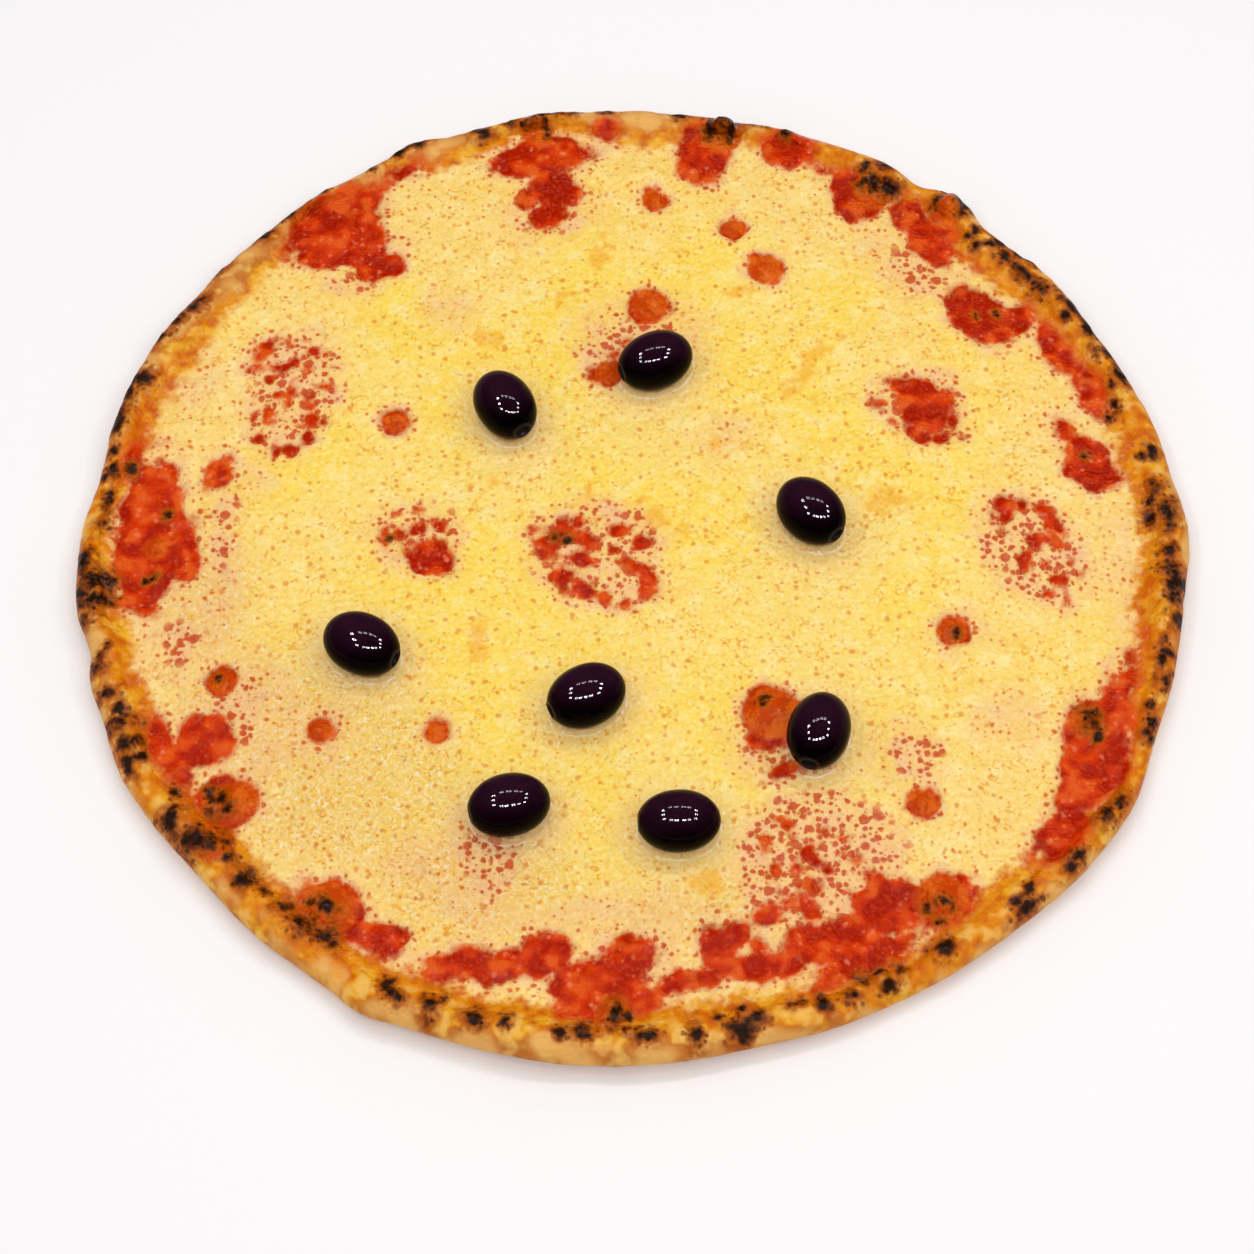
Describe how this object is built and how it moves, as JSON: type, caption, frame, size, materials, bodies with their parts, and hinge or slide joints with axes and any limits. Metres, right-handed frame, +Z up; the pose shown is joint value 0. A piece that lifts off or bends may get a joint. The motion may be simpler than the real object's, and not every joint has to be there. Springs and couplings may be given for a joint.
{
  "type": "mozzarella pizza",
  "caption": "Whole round thin-crust pizza with tomato sauce, melted mozzarella and whole black olives, baked and ready to serve.",
  "frame": {"origin": "middle of the bounding box at the flat underside of the dough", "axes": "+Z up, -Y towards the side that faces the viewer, +X to the right of the picture"},
  "size_m": [0.32, 0.3204, 0.0234],
  "materials": {
    "baked_dough": "matt baked dough, pale and floury outside, browned and charred in spots",
    "tomato": "wet glossy tomato pulp",
    "melted_cheese": "oily melted cheese, satin",
    "dark_olive": "smooth glossy skin, near-black purple"
  },
  "bodies": {
    "root": {"crust": "baked_dough", "tomato_sauce": "tomato", "mozzarella": "melted_cheese", "olive_1": "dark_olive", "olive_2": "dark_olive", "olive_3": "dark_olive", "olive_4": "dark_olive", "olive_5": "dark_olive", "olive_6": "dark_olive", "olive_7": "dark_olive", "olive_8": "dark_olive"}
  },
  "joints": []
}
